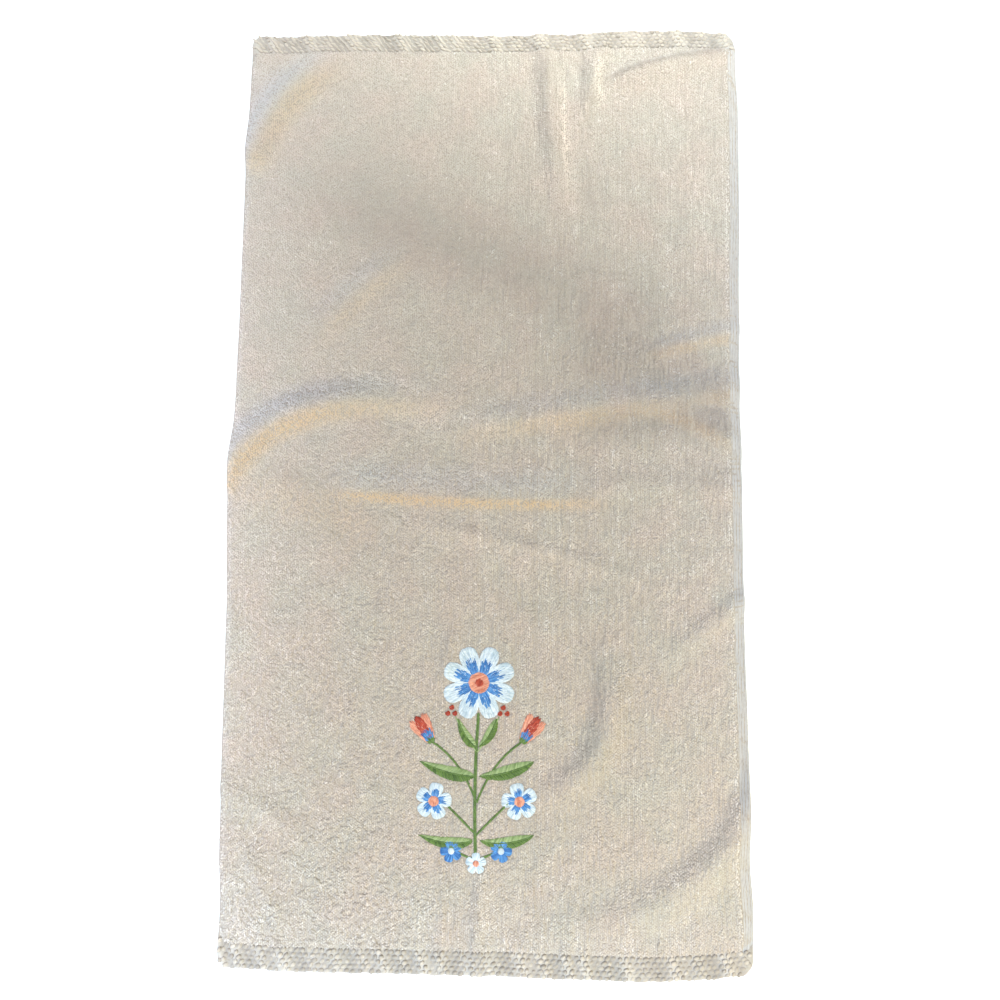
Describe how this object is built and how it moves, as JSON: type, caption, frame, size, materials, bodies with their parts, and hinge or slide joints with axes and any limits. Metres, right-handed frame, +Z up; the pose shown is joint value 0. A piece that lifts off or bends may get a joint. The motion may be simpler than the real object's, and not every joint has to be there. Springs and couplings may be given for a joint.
{
  "type": "hand towel",
  "caption": "Terry hand towel with flat-woven end hems, laid out face up in soft folds, with a small embroidered sprig near one end.",
  "frame": {"origin": "centre of the towel's footprint, on the surface it lies on", "axes": "+X across the towel to its right selvedge, +Y along it to the hem away from the embroidery, +Z up"},
  "size_m": [0.4162, 0.7686, 0.0116],
  "materials": {
    "terry": "oatmeal cotton terry, matt, with a short sheared pile",
    "blue_thread": "cornflower blue rayon embroidery thread, silky",
    "pale_thread": "pale icy blue rayon embroidery thread, silky",
    "coral_thread": "coral rayon embroidery thread, silky",
    "red_thread": "brick red rayon embroidery thread, silky",
    "leaf_thread": "leaf green rayon embroidery thread, silky",
    "sprout_thread": "light green rayon embroidery thread, silky"
  },
  "bodies": {
    "root": {"towel": "terry"}
  },
  "joints": []
}
